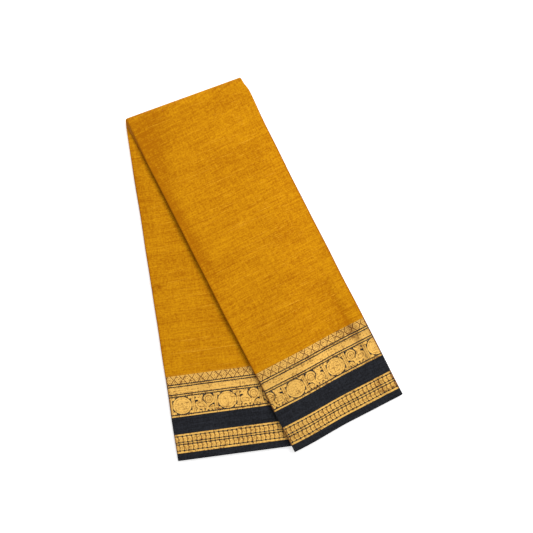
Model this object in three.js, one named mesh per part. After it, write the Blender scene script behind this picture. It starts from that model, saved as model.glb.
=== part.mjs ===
// A saree folded into a long pad, doubled over and laid flat. Millimetres, +Z up.
// The pad has 32 layers. Its upper leg slants over its lower leg, and both hems show the border.
import * as THREE from "three";

// The cloth and how it is folded
const CLOTH_LENGTH = 6300;
const HALVINGS = 5;
const LAYERS = 2 ** HALVINGS;
const LAYER_PITCH = 0.4;
const PAD_WIDTH = CLOTH_LENGTH / LAYERS;
const PAD_THICKNESS = LAYERS * LAYER_PITCH;
const BORDER_WIDTH = 138.6;

// Where the legs lie, seen from above. A leg's tilt is its turn from straight down to the right.
const FOLD_TILT = degrees(19.9);
const BACK_LEG = { tilt: degrees(8.86), startsAt: -3.6, leftLength: 541.4, rightLength: 584.3 };
const FRONT_LEG = { tilt: degrees(27.15), startsAt: 0.3, leftLength: 583.3, rightLength: 557.8 };
const LEG_GAP = 0.4;
const DRAPE_WIDTH = 84;
const DRAPE_STARTS = 7;
// The slanted doubling carries the outer layers to the right of the inner ones
const FOLD_SLIP = { across: 6, fadesOver: 90 };

// Walls and the gaps between solids
const WALL = 1.2;
const SEAM = 0.3;
const INSET = WALL + SEAM;

// The pad's right edge shows the folds of earlier halvings, each a round packet of layers.
// From the inside of the doubling outwards: the heights a packet fills, and how far its fold
// stops short of the edge. The largest packet, of half the layers, reaches the edge itself.
const LARGEST_TURN = PAD_THICKNESS / 4;
const CREASE_DEPTH = LARGEST_TURN + SEAM;
const PACKETS = [
  { from: INSET, to: PAD_THICKNESS / 4, short: 1.8, steps: 2 },
  { from: PAD_THICKNESS / 4, to: PAD_THICKNESS / 2 - SEAM, short: 0.6, steps: 4 },
];
const FIRST_LINE = PAD_THICKNESS / 2 + 2;
const LAST_LINE = PAD_WIDTH - LARGEST_TURN - 2;
const HEM_GROOVE = 1.6;

// Grid counts
const ACROSS = { flat: 4, draped: 5, leftTurn: 8, rightTurn: 4 };
const ALONG = { field: 7, border: 2, bend: 8 };

const COLOURS = {
  field: { color: 0xd08a12, roughness: 0.72, metalness: 0.0 },
  border: { color: 0x26272c, roughness: 0.6, metalness: 0.1 },
  inner: { color: 0xb8780c, roughness: 0.8, metalness: 0.0 },
};

function degrees(angle) {
  return THREE.MathUtils.degToRad(angle);
}

function smooth(value) {
  return THREE.MathUtils.smoothstep(value, 0, 1);
}

const { lerp, clamp } = THREE.MathUtils;

// Plan directions: along the top fold, out over it, and down each leg
const foldLine = new THREE.Vector2(Math.cos(FOLD_TILT), Math.sin(FOLD_TILT));
const foldOut = new THREE.Vector2(-foldLine.y, foldLine.x);
const BEND_RADIUS = LEG_GAP / 2;
const BEND_HEIGHT = PAD_THICKNESS + BEND_RADIUS;

function legDown(leg) {
  return new THREE.Vector2(Math.sin(leg.tilt), -Math.cos(leg.tilt));
}

// How far along the fold line a point x across the pad meets it, on the given leg
function alongFold(leg, x) {
  return leg.startsAt + x / Math.cos(leg.tilt - FOLD_TILT);
}

function legLength(leg, x) {
  return lerp(leg.leftLength, leg.rightLength, x / PAD_WIDTH);
}

function legPoint(leg, x, down) {
  return foldLine.clone().multiplyScalar(alongFold(leg, x)).addScaledVector(legDown(leg), down);
}

// How far along the fold line a layer at height h has slipped, full at the fold's upper end
function slip(h, share) {
  return FOLD_SLIP.across * (h / PAD_THICKNESS - 0.5) * share;
}

// Distance of a plan point to the right of the lower leg's right edge
const backEdge = legPoint(BACK_LEG, PAD_WIDTH, 0);
const backRight = new THREE.Vector2(Math.cos(BACK_LEG.tilt), Math.sin(BACK_LEG.tilt));

function pastBackLeg(point) {
  return point.clone().sub(backEdge).dot(backRight);
}

// Height of the upper leg's underside: on the lower leg, then easing down to the surface
function frontBase(point) {
  const share = (pastBackLeg(point) - DRAPE_STARTS) / DRAPE_WIDTH;
  return (PAD_THICKNESS + LEG_GAP) * (1 - smooth(share));
}

// Stations along the cloth's width, from the lower hem round the top fold to the upper hem.
// A station gives a place on its leg by how far down it lies, or an angle in the bend.
function legStation(leg, share, trim = 0) {
  return { leg, down: (x) => share * (legLength(leg, x) - BORDER_WIDTH) + trim };
}

function borderStation(leg, fromHem, trim = 0) {
  return { leg, down: (x) => legLength(leg, x) - fromHem + trim };
}

// A point of the pad: x across it from the left edge, height h from the inside of the doubling,
// and a station. shorter draws the hems back.
function place(station, x, h, shorter = 0) {
  if (station.leg === BACK_LEG) {
    const point = legPoint(BACK_LEG, x, station.down(x) - shorter);
    return new THREE.Vector3(point.x, point.y, PAD_THICKNESS - h);
  }
  if (station.leg === FRONT_LEG) {
    const down = station.down(x) - shorter;
    const point = legPoint(FRONT_LEG, x, down);
    const z = frontBase(point) + h;
    point.addScaledVector(foldLine, slip(h, smooth(1 - down / FOLD_SLIP.fadesOver)));
    return new THREE.Vector3(point.x, point.y, z);
  }
  const radius = BEND_RADIUS + h;
  const share = station.angle / Math.PI + 0.5;
  const along = lerp(alongFold(BACK_LEG, x), alongFold(FRONT_LEG, x), share) + slip(h, share);
  const point = foldLine.clone().multiplyScalar(along);
  point.addScaledVector(foldOut, radius * Math.cos(station.angle));
  return new THREE.Vector3(point.x, point.y, BEND_HEIGHT + radius * Math.sin(station.angle));
}

// Where the drape starts and ends across the pad, at this station. Grid lines follow both.
function drapeLimits(station) {
  const back = [LAST_LINE * 0.55, LAST_LINE * 0.8];
  if (station.leg === BACK_LEG) {
    return back;
  }
  if (!station.leg) {
    const front = drapeLimits({ leg: FRONT_LEG, down: () => 0 });
    return front.map((limit, i) => lerp(back[i], limit, station.angle / Math.PI + 0.5));
  }
  const atLeft = pastBackLeg(legPoint(FRONT_LEG, 0, station.down(0)));
  const atRight = pastBackLeg(legPoint(FRONT_LEG, PAD_WIDTH, station.down(PAD_WIDTH)));
  const across = (distance) => (PAD_WIDTH * (distance - atLeft)) / (atRight - atLeft);
  const start = clamp(across(DRAPE_STARTS), FIRST_LINE + 4, LAST_LINE - 16);
  return [start, clamp(across(DRAPE_STARTS + DRAPE_WIDTH), start + 8, LAST_LINE - 6)];
}

// Grid lines across a flat sheet, denser over the drape
function linesAcross(station) {
  const [start, end] = drapeLimits(station);
  const stops = [FIRST_LINE, start, end, LAST_LINE];
  const counts = [ACROSS.flat, ACROSS.draped, ACROSS.flat / 2];
  const lines = [stops[0]];
  counts.forEach((count, part) => {
    for (let i = 1; i <= count; i += 1) {
      lines.push(lerp(stops[part], stops[part + 1], i / count));
    }
  });
  return lines;
}

// The largest packet's fold at the right edge, at a depth inside its outer face, as points
// of distance across the pad and height, from below it round to above it
function largestTurn(depth) {
  return steps(ACROSS.rightTurn, (share) => {
    const angle = Math.PI * (share - 0.5);
    const radius = LARGEST_TURN - depth;
    const x = PAD_WIDTH - LARGEST_TURN + radius * Math.cos(angle);
    return [x, PAD_THICKNESS - LARGEST_TURN + radius * Math.sin(angle)];
  });
}

// Points of the outermost layer's section, at a depth inside its outer face: round the largest
// packet's fold at the right, along the outside, round the left edge and back along the inside
function coverSection(station, depth) {
  const half = PAD_THICKNESS / 2;
  const lines = linesAcross(station);
  const outside = [...lines].reverse().map((x) => [x, PAD_THICKNESS - depth]);
  const leftTurn = steps(ACROSS.leftTurn, (share) => {
    const radius = half - depth;
    return [half - radius * Math.sin(Math.PI * share), half + radius * Math.cos(Math.PI * share)];
  });
  const inside = [...lines, PAD_WIDTH - CREASE_DEPTH, PAD_WIDTH].map((x) => [x, depth]);
  return [...largestTurn(depth), ...outside, ...leftTurn, ...inside];
}

// Levels of the hidden layers: a height, and how far the right end stops short of the edge
function hiddenLevels() {
  const levels = PACKETS.flatMap(({ from, to, short, steps: count }) =>
    steps(count, (share) => {
      const round = Math.sin(Math.PI * share);
      return { h: lerp(from, to, share), short: lerp(CREASE_DEPTH, short, round), crease: round < 0.1 };
    }),
  );
  const upper = largestTurn(INSET).map(([x, h]) => ({ h, short: PAD_WIDTH - x, crease: false }));
  upper[0].short = CREASE_DEPTH;
  return [...levels, ...upper].filter((level, i, all) => i === 0 || level.h > all[i - 1].h + 0.01);
}

// Left end of the hidden layers at a level: the inside of the round left edge
function leftEnd(h) {
  const half = PAD_THICKNESS / 2;
  const radius = half - INSET;
  return half - Math.sqrt(Math.max(0, radius ** 2 - (h - half) ** 2));
}

// A closed body over a grid of points(i, j, k), each index from 0 to its count
function closedBody(name, counts, points, colour) {
  const indexOf = new Map();
  const positions = [];
  const corner = (i, j, k) => {
    const key = `${i} ${j} ${k}`;
    if (!indexOf.has(key)) {
      indexOf.set(key, positions.length);
      positions.push(points(i, j, k));
    }
    return indexOf.get(key);
  };
  const triangles = [];
  const quad = (a, b, c, d) => {
    const first = positions[a].distanceTo(positions[c]);
    const second = positions[b].distanceTo(positions[d]);
    if (first <= second) {
      triangles.push([a, b, c], [a, c, d]);
    } else {
      triangles.push([a, b, d], [b, c, d]);
    }
  };
  const [ni, nj, nk] = counts;
  const face = (nu, nv, at, outward) => {
    for (let u = 0; u < nu; u += 1) {
      for (let v = 0; v < nv; v += 1) {
        const loop = [at(u, v), at(u + 1, v), at(u + 1, v + 1), at(u, v + 1)];
        quad(...(outward ? loop : loop.reverse()));
      }
    }
  };
  face(ni, nj, (u, v) => corner(u, v, nk), true);
  face(ni, nj, (u, v) => corner(u, v, 0), false);
  face(nj, nk, (u, v) => corner(ni, u, v), true);
  face(nj, nk, (u, v) => corner(0, u, v), false);
  face(nk, ni, (u, v) => corner(v, nj, u), true);
  face(nk, ni, (u, v) => corner(v, 0, u), false);

  const volume = triangles.reduce((sum, [a, b, c]) => {
    const cross = new THREE.Vector3().crossVectors(positions[b], positions[c]);
    return sum + positions[a].dot(cross) / 6;
  }, 0);
  const geometry = new THREE.BufferGeometry().setFromPoints(positions);
  geometry.setIndex(triangles.flatMap((t) => (volume > 0 ? t : [t[0], t[2], t[1]])));
  geometry.computeVertexNormals();
  const mesh = new THREE.Mesh(geometry, new THREE.MeshStandardMaterial(colour));
  mesh.name = name;
  return mesh;
}

// One stretch of the outermost layer, through the given stations
function cover(name, stations, colour) {
  const sections = stations.map((station) => [0, WALL].map((depth) => coverSection(station, depth)));
  const counts = [sections[0][0].length - 1, stations.length - 1, 1];
  const points = (i, j, k) => {
    const [x, h] = sections[j][k][i];
    return place(stations[j], x, h);
  };
  return closedBody(name, counts, points, colour);
}

// All the hidden layers, from hem to hem
function innerLayers(name, stations, colour) {
  const levels = hiddenLevels();
  const last = stations.length - 1;
  const lines = stations.map(linesAcross);
  const across = lines[0].length;
  const points = (i, j, k) => {
    const { h, short, crease } = levels[k];
    const groove = crease && (j === 0 || j === last) ? HEM_GROOVE : 0;
    let x = lines[j][i - 1];
    if (i === 0) {
      x = leftEnd(h);
    } else if (i > across) {
      x = PAD_WIDTH - short;
    }
    return place(stations[j], x, h, groove);
  };
  return closedBody(name, [across + 1, last, levels.length - 1], points, colour);
}

function steps(count, make) {
  return Array.from({ length: count + 1 }, (_, i) => make(i / count));
}

// Stations of each stretch. Stretches stop half a seam short where field and border meet,
// and a field starts a seam below the top fold.
const trim = SEAM / 2;
const fieldStations = (leg) =>
  steps(ALONG.field, (share) => legStation(leg, share, share === 1 ? -trim : share === 0 ? SEAM : 0));
const borderStations = (leg) =>
  steps(ALONG.border, (share) => borderStation(leg, BORDER_WIDTH * (1 - share), share === 0 ? trim : 0));
const bendStations = steps(ALONG.bend, (share) => ({ angle: Math.PI * (share - 0.5) }));

function innerStations() {
  const field = (leg) => steps(ALONG.field, (share) => legStation(leg, share));
  const border = (leg) => steps(ALONG.border, (share) => borderStation(leg, BORDER_WIDTH * (1 - share)));
  const downLeg = (leg) => [...field(leg).slice(1), ...border(leg).slice(1)];
  return [...downLeg(BACK_LEG).reverse(), ...bendStations, ...downLeg(FRONT_LEG)];
}

const saree = new THREE.Group();
saree.add(
  cover("back_border", borderStations(BACK_LEG), COLOURS.border),
  cover("back_field", fieldStations(BACK_LEG), COLOURS.field),
  cover("top_fold", bendStations, COLOURS.field),
  cover("front_field", fieldStations(FRONT_LEG), COLOURS.field),
  cover("front_border", borderStations(FRONT_LEG), COLOURS.border),
  innerLayers("inner_layers", innerStations(), COLOURS.inner),
);

// The origin is under the middle of the part's box
const box = new THREE.Box3().setFromObject(saree);
const middle = box.getCenter(new THREE.Vector3());
saree.position.set(-middle.x, -middle.y, -box.min.z);

export default saree;
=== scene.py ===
"""A saree folded into a long pad, doubled over and laid flat on a pale surface.

One length of cloth is folded in half five times along its length. The pad of 32 layers is then
doubled over its width, so that its upper leg slants to the right over its lower leg. Every
layer is modelled as the cloth runs, from its free end to its last fold. Sizes are in metres.
"""

import logging
import math
from dataclasses import dataclass, field, replace
from enum import Enum

import bpy
import numpy as np
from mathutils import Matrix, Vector


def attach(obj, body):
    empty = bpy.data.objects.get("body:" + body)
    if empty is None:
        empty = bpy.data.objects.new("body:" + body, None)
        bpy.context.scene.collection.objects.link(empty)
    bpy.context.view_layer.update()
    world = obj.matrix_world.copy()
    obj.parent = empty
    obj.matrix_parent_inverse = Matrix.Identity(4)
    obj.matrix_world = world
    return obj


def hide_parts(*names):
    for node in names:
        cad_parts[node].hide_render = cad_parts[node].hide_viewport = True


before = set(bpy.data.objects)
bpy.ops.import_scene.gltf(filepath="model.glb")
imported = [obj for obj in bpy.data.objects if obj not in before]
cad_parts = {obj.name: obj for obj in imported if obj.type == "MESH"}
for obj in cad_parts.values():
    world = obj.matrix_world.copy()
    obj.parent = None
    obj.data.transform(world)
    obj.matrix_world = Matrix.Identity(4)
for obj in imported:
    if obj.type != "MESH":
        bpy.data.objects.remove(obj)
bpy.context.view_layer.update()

LOG = logging.getLogger("saree")
MM = 0.001
MM_PER_METRE = 1000.0
SEED = 32
CLOTH_MAP = "cloth"
BAKE_MAP = "OFBake"
SHADE = "shade"
SHARP_ANGLE = math.radians(50)


def ease(value: np.ndarray) -> np.ndarray:
    """Returns a smooth step of value, from 0 at 0 to 1 at 1."""
    share = np.clip(value, 0.0, 1.0)
    return share * share * (3.0 - 2.0 * share)


def bell(distance: np.ndarray, width: float) -> np.ndarray:
    """Returns a round hump of height 1 at no distance, gone a few widths away."""
    return np.exp(-((distance / width) ** 2))


def mix(low: np.ndarray, high: np.ndarray, share: np.ndarray) -> np.ndarray:
    """Returns the value a share of the way from low to high."""
    return low + (high - low) * share


@dataclass(frozen=True)
class Leg:
    """One leg of the doubled pad, seen from above."""

    tilt: float
    starts_at: float
    left_length: float
    right_length: float

    def down(self) -> np.ndarray:
        """Returns the direction that the leg runs in, away from the top fold."""
        return np.array([math.sin(self.tilt), -math.cos(self.tilt)])


@dataclass(frozen=True)
class Pad:
    """The folded pad's measures, and the way from a place in the pad to a place in space."""

    cloth_length: float = 6.3
    cloth_width: float = 1.155
    halvings: int = 5
    pitch: float = 0.4 * MM
    cloth: float = 0.3 * MM
    border: float = 138.6 * MM
    fold_tilt: float = math.radians(19.9)
    fold_start: tuple[float, float] = (-218.67 * MM, 228.59 * MM)
    back: Leg = Leg(math.radians(8.86), -3.6 * MM, 541.4 * MM, 584.3 * MM)
    front: Leg = Leg(math.radians(27.15), 0.3 * MM, 583.3 * MM, 557.8 * MM)
    leg_gap: float = 0.4 * MM
    drape_starts: float = 7 * MM
    drape_width: float = 84 * MM
    slip_across: float = 6 * MM
    slip_fades: float = 90 * MM

    @property
    def layers(self) -> int:
        """Returns how many layers of cloth the pad has."""
        return 2**self.halvings

    @property
    def width(self) -> float:
        """Returns the pad's width, one layer's run from edge to edge."""
        return self.cloth_length / self.layers

    @property
    def thickness(self) -> float:
        """Returns the pad's thickness."""
        return self.layers * self.pitch

    @property
    def fold_line(self) -> np.ndarray:
        """Returns the direction of the top fold, from left to right."""
        return np.array([math.cos(self.fold_tilt), math.sin(self.fold_tilt)])

    def along_fold(self, leg: Leg, x: np.ndarray) -> np.ndarray:
        """Returns how far along the fold line a point x across the pad meets it."""
        return leg.starts_at + x / math.cos(leg.tilt - self.fold_tilt)

    def length(self, leg: Leg, x: np.ndarray) -> np.ndarray:
        """Returns the leg's length from the fold line to its hem, x across the pad."""
        return mix(leg.left_length, leg.right_length, x / self.width)

    def plan(self, leg: Leg, x: np.ndarray, down: np.ndarray) -> np.ndarray:
        """Finds points of a leg in plan.

        Args:
            leg: the leg.
            x: distances across the pad from its left edge.
            down: distances down the leg from the fold line.

        Returns:
            An array of plan points, one row each.
        """
        along = self.along_fold(leg, x)[:, None] * self.fold_line
        return np.array(self.fold_start) + along + down[:, None] * leg.down()

    def back_place(self, points: np.ndarray) -> tuple[np.ndarray, np.ndarray]:
        """Finds where plan points lie on the lower leg.

        Args:
            points: plan points, one row each.

        Returns:
            Distances across the pad and down the lower leg.
        """
        across = self.fold_line / math.cos(self.back.tilt - self.fold_tilt)
        start = np.array(self.fold_start) + self.back.starts_at * self.fold_line
        solved = np.linalg.solve(np.stack([across, self.back.down()], 1), (points - start).T)
        return solved[0], solved[1]

    def past_back(self, points: np.ndarray) -> np.ndarray:
        """Measures how far plan points lie past the lower leg's right edge.

        Args:
            points: plan points, one row each.

        Returns:
            Distances, above 0 to the right of the edge.
        """
        edge = self.plan(self.back, np.array([self.width]), np.zeros(1))[0]
        right = np.array([math.cos(self.back.tilt), math.sin(self.back.tilt)])
        return (points - edge) @ right

    def slip(self, h: np.ndarray, share: np.ndarray) -> np.ndarray:
        """Returns how far the slanted fold carries layers at height h along the fold line."""
        return self.slip_across * (h / self.thickness - 0.5) * share


@dataclass(frozen=True)
class SoftFold:
    """A trough or ridge in the cloth of one leg.

    It runs straight from one place to another, each given as a distance across the pad from
    its left edge and a distance down the leg from the top fold. A negative height is a trough.
    Its tone is painted shade or light: a negative tone paints shade, darker than the cloth round
    it, and a positive tone paints light.
    """

    start: tuple[float, float]
    end: tuple[float, float]
    width: float
    height: float
    # tone is painted shade below 0 and painted light above 0
    tone: float = 0.0
    fades_over: float = 0.35

    def strength(self, x: np.ndarray, down: np.ndarray) -> np.ndarray:
        """Finds how strong the fold is at each place.

        Args:
            x: distances across the pad.
            down: distances down the leg.

        Returns:
            Shares, 1 along the fold's middle.
        """
        ax, ay = self.start
        bx, by = self.end
        length = math.hypot(bx - ax, by - ay)
        ux, uy = (bx - ax) / length, (by - ay) / length
        along = (x - ax) * ux + (down - ay) * uy
        aside = (down - ay) * ux - (x - ax) * uy
        fade = self.fades_over * length
        return bell(aside, self.width) * ease(along / fade) * ease((length - along) / fade)


@dataclass(frozen=True)
class Slope(SoftFold):
    """A stretch that sinks away on the left of a line, over a width."""

    def strength(self, x: np.ndarray, down: np.ndarray) -> np.ndarray:
        """Finds how far each place has sunk.

        Args:
            x: distances across the pad.
            down: distances down the leg.

        Returns:
            Shares, 0 right of the line and 1 well left of it.
        """
        ax, ay = self.start
        bx, by = self.end
        length = math.hypot(bx - ax, by - ay)
        aside = ((down - ay) * (bx - ax) - (x - ax) * (by - ay)) / length
        return ease(aside / self.width)


@dataclass(frozen=True)
class Waviness:
    """Long, low, uneven waves that lie in any folded cloth."""

    seed: int
    height: float
    shortest: float
    longest: float
    count: int = 7

    def relief(self, x: np.ndarray, down: np.ndarray) -> np.ndarray:
        """Adds up the waves at each place.

        Args:
            x: distances across the pad.
            down: distances down the leg.

        Returns:
            The waves' height.
        """
        draw = np.random.default_rng(self.seed)
        total = np.zeros_like(x)
        for _ in range(self.count):
            wave = draw.uniform(self.shortest, self.longest)
            turn, phase = draw.uniform(0, math.tau, 2)
            run = (x * math.cos(turn) + down * math.sin(turn)) / wave
            total = total + np.sin(math.tau * run + phase)
        return self.height * total / math.sqrt(self.count)


@dataclass(frozen=True)
class LegRelief:
    """How the cloth of one leg rises and dips from a plain pad, with painted shade and light on its
    folds.
    """

    folds: tuple[SoftFold, ...]
    waves: Waviness
    starts_over: float = 0.03

    def height(self, x: np.ndarray, down: np.ndarray) -> np.ndarray:
        """Returns the leg's relief, easing in below the top fold."""
        folds = sum(fold.height * fold.strength(x, down) for fold in self.folds)
        return (folds + self.waves.relief(x, down)) * ease(down / self.starts_over)

    def tone(self, x: np.ndarray, down: np.ndarray) -> np.ndarray:
        """Returns the painted shade and light of the folds, below 0 where shade is painted."""
        return sum(fold.tone * fold.strength(x, down) for fold in self.folds)


@dataclass(frozen=True)
class Relief:
    """The relief of both legs."""

    # A fold's fifth number is its tone: painted shade below 0, painted light above 0.
    front: LegRelief = LegRelief(
        (
            Slope((0.068, 0.033), (0.010, 0.182), 0.040, -2.2 * MM, -0.36),
            SoftFold((0.006, 0.100), (0.010, 0.300), 9.0 * MM, -0.8 * MM, -0.5),
            SoftFold((0.168, 0.300), (0.171, 0.640), 4.5 * MM, -0.9 * MM, -0.22),
            SoftFold((0.179, 0.260), (0.182, 0.600), 5.0 * MM, 0.6 * MM, 0.1),
            SoftFold((0.060, 0.120), (0.150, 0.100), 14 * MM, 0.5 * MM),
            SoftFold((0.110, 0.330), (0.092, 0.520), 12 * MM, 0.5 * MM),
            SoftFold((0.020, 0.250), (0.120, 0.300), 10 * MM, -0.4 * MM, -0.08),
            SoftFold((0.150, 0.330), (0.190, 0.480), 16 * MM, -0.3 * MM, -0.16),
        ),
        Waviness(5, 0.2 * MM, 0.045, 0.16),
    )
    back: LegRelief = LegRelief(
        (
            SoftFold((-0.004, 0.266), (0.016, 0.262), 2.7 * MM, -1.8 * MM, -1.5),
            SoftFold((0.012, 0.060), (0.030, 0.240), 8.0 * MM, 0.6 * MM),
            SoftFold((0.020, 0.330), (0.080, 0.345), 9.0 * MM, 0.5 * MM, 0.08),
            SoftFold((0.060, 0.400), (0.052, 0.540), 10 * MM, -0.4 * MM, -0.1),
            SoftFold((0.002, 0.020), (0.010, 0.200), 12 * MM, -0.5 * MM, -0.2),
        ),
        Waviness(9, 0.16 * MM, 0.045, 0.16),
    )


class Zone(Enum):
    """Stretches of the cloth's width, in order from the lower hem to the upper hem."""

    BACK_BORDER = 0
    BACK_FIELD = 1
    TOP_FOLD = 2
    FRONT_FIELD = 3
    FRONT_BORDER = 4


@dataclass(frozen=True)
class Laying:
    """Puts the folded pad on the surface, with its relief."""

    pad: Pad
    relief: Relief
    line_share: tuple[float, float] = (0.25, 0.75)
    edge_share: float = 0.06
    flat_least: float = 0.1
    settle: float = 0.1
    side_margin: float = 8 * MM
    side_eases_over: float = 16 * MM
    fold_eases_over: float = 40 * MM
    hem_margin: float = 6 * MM
    hem_eases_over: float = 30 * MM
    edge_waves: Waviness = Waviness(21, 0.35 * MM, 0.05, 0.2)
    waves_reach: float = 0.3
    packet_shift: float = 0.37
    left_shift: float = 2.9
    corner_past: float = 11 * MM
    corner_share: float = 0.04
    corner_tuck: float = 3.0 * MM
    corner_reach: float = 9.5 * MM

    def down(self, station: float, x: np.ndarray) -> np.ndarray:
        """Finds how far down its leg a station lies.

        Args:
            station: a zone's number, plus the share of the way through it.
            x: distances across the pad.

        Returns:
            Distances down the leg from the fold line, which are 0 within the top fold.
        """
        pad = self.pad
        if station <= 1:
            return pad.length(pad.back, x) - station * pad.border
        if station <= 2:
            return (2 - station) * (pad.length(pad.back, x) - pad.border)
        if station <= 3:
            return np.zeros_like(x)
        if station <= 4:
            return (station - 3) * (pad.length(pad.front, x) - pad.border)
        return pad.length(pad.front, x) - (len(Zone) - station) * pad.border

    def across_cloth(self, station: float, x: np.ndarray) -> np.ndarray:
        """Finds how far across the cloth's width a station lies.

        Args:
            station: a zone's number, plus the share of the way through it.
            x: distances across the pad.

        Returns:
            Distances from the lower hem.
        """
        pad, down = self.pad, self.down(station, x)
        lower = pad.length(pad.back, x)
        upper = pad.cloth_width - pad.length(pad.front, x)
        if station <= 2:
            return lower - down
        if station <= 3:
            return mix(lower, upper, station - 2)
        return upper + down

    def follow_drape(self, station: float, x: np.ndarray) -> np.ndarray:
        """Moves lines across the pad so that more of them lie where the upper leg drapes.

        Args:
            station: a zone's number, plus the share of the way through it.
            x: distances across the pad of evenly spread lines.

        Returns:
            The lines' distances across the pad at this station.
        """
        pad = self.pad
        low, high = self.edge_share * pad.width, (1 - self.edge_share) * pad.width
        down = self.down(max(station, 3.0), np.array([0.5 * pad.width]))
        edges = np.array([0.0, pad.width])
        crossing = pad.past_back(pad.plan(pad.front, edges, np.repeat(down, 2)))
        slope = (crossing[1] - crossing[0]) / pad.width
        starts = (pad.drape_starts - crossing[0]) / slope
        ends = starts + pad.drape_width / slope
        gap = self.flat_least * pad.width
        first = float(np.clip(starts, low + gap, high - 3 * gap))
        last = float(np.clip(ends, first + 2 * gap, high - gap))
        even = [low + share * (high - low) for share in self.line_share]
        moved = [0, low, first, last, high, pad.width]
        return np.interp(x, [0, low, *even, high, pad.width], moved)

    def tone(self, station: float, x: np.ndarray) -> np.ndarray:
        """Finds the painted shade and light of the folds at a station.

        Args:
            station: a zone's number, plus the share of the way through it.
            x: distances across the pad.

        Returns:
            Tones, below 0 where shade is painted.
        """
        down = self.down(station, x)
        share = float(np.clip(station - 2, 0, 1))
        return mix(self.relief.back.tone(x, down), self.relief.front.tone(x, down), share)

    def inside(self, leg: Leg, x: np.ndarray, down: np.ndarray) -> np.ndarray:
        """Finds how far inside the pad's edges places lie.

        Args:
            leg: the leg that they lie on.
            x: distances across the pad.
            down: distances down the leg.

        Returns:
            Shares, 0 at an edge and 1 well inside.
        """
        pad = self.pad
        left = ease((x - self.side_margin) / self.side_eases_over)
        right = ease((pad.width - self.side_margin - x) / self.side_eases_over)
        hem = ease((pad.length(leg, x) - down - self.hem_margin) / self.hem_eases_over)
        return left * right * ease(down / self.fold_eases_over) * hem

    def place(self, station: float, path: "Section", hidden: bool, offset: float) -> np.ndarray:
        """Finds points of the pad in space.

        Args:
            station: a zone's number, plus the share of the way through it.
            path: the stretch of cloth in section.
            hidden: whether this cloth lies within the pad, where it settles under the outer cloth.
            offset: how far the points lie from the cloth's middle, towards its outer face.

        Returns:
            An array of points, one row each.
        """
        pad = self.pad
        x, h = path.offset(self.follow_drape(station, path.x), offset)
        down = self.down(station, x)
        x = x + self.uneven(path, x, self.across_cloth(station, x))
        if station <= 2:
            down = down - path.short * ease(1 - station)
            points = pad.plan(pad.back, x, down)
            share = 1 - h / pad.thickness
            settled = self.settle * pad.thickness * self.inside(pad.back, x, down) * hidden
            z = pad.thickness - h + (self.relief.back.height(x, down) - settled) * share
            return np.column_stack([points, z])
        if station >= 3:
            down = down - path.short * ease(station - 4)
            points = pad.plan(pad.front, x, down)
            share = h / pad.thickness
            settled = self.settle * pad.thickness * self.inside(pad.front, x, down) * hidden
            relief = self.relief.front.height(x, down) - settled
            z = self.front_base(points) + h + relief * share
            slipped = pad.slip(h, ease(1 - down / pad.slip_fades))
            return np.column_stack([points + slipped[:, None] * pad.fold_line, z])
        share = station - 2
        angle = math.pi * (share - 0.5)
        along = mix(pad.along_fold(pad.back, x), pad.along_fold(pad.front, x), share)
        along = along + pad.slip(h, np.full_like(h, share))
        out = np.array([-pad.fold_line[1], pad.fold_line[0]])
        radius = h + pad.leg_gap / 2
        points = np.array(pad.fold_start) + along[:, None] * pad.fold_line
        points = points + (radius * math.cos(angle))[:, None] * out
        z = pad.thickness + pad.leg_gap / 2 + radius * math.sin(angle)
        return np.column_stack([points, z])

    def uneven(self, path: "Section", x: np.ndarray, across: np.ndarray) -> np.ndarray:
        """Finds how far each packet's folded edge strays from straight.

        Args:
            path: the stretch of cloth in section.
            x: distances across the pad.
            across: distances across the cloth's width.

        Returns:
            Distances across the pad.
        """
        pad = self.pad
        from_left, from_right = x / pad.width, 1 - x / pad.width
        right = self.edge_waves.relief(across, path.packet * self.packet_shift)
        left = self.edge_waves.relief(across, np.full_like(x, self.left_shift))
        waves = right * ease(1 - from_right / self.waves_reach)
        waves = waves + left * ease(1 - from_left / self.waves_reach)
        corner = bell(across - pad.back.right_length - self.corner_past, self.corner_reach)
        return waves - self.corner_tuck * corner * ease(1 - from_right / self.corner_share)

    def front_base(self, points: np.ndarray) -> np.ndarray:
        """Finds the height of the upper leg's underside.

        Args:
            points: plan points, one row each.

        Returns:
            Heights above the surface.
        """
        pad = self.pad
        past = pad.past_back(points)
        held = 1 - ease((past - pad.drape_starts) / pad.drape_width)
        x, down = pad.back_place(points)
        lift = self.relief.back.height(np.clip(x, 0, pad.width), down)
        return (pad.thickness + pad.leg_gap + lift) * held


@dataclass
class Section:
    """The folded cloth seen along the pad: the path of one long zigzag of layers.

    Each point has a distance x across the pad, a height h from the inside of the doubling, the
    length of cloth u before it, how far its layer stops short of the hem, and the number of the
    packet that it folds with at the right edge.
    """

    x: np.ndarray
    h: np.ndarray
    u: np.ndarray
    short: np.ndarray
    packet: np.ndarray

    def __post_init__(self) -> None:
        """Works out which way the cloth runs and looks at each point."""
        steps = np.column_stack([np.diff(self.x), np.diff(self.h)])
        steps = steps / np.linalg.norm(steps, axis=1)[:, None]
        runs = np.vstack([steps[:1], steps[:-1] + steps[1:], steps[-1:]])
        self.run = runs / np.linalg.norm(runs, axis=1)[:, None]

    def part(self, first: int, last: int) -> "Section":
        """Cuts out a stretch of the path.

        Args:
            first: its first point.
            last: the point after its last.

        Returns:
            The stretch.
        """
        keep = slice(first, last)
        values = (self.x, self.h, self.u, self.short, self.packet)
        return Section(*(value[keep] for value in values))

    def offset(self, x: np.ndarray, distance: float) -> tuple[np.ndarray, np.ndarray]:
        """Moves points of the path towards the cloth's outer face.

        Args:
            x: the points' distances across the pad, where lines have been moved.
            distance: how far to move them.

        Returns:
            The moved points' x and h.
        """
        return x - self.run[:, 1] * distance, self.h + self.run[:, 0] * distance

    def cloth_run(self, x: np.ndarray) -> np.ndarray:
        """Returns the length of cloth before each point, where lines have been moved to x."""
        return self.u + (x - self.x) * np.sign(np.round(self.run[:, 0]))


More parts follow.
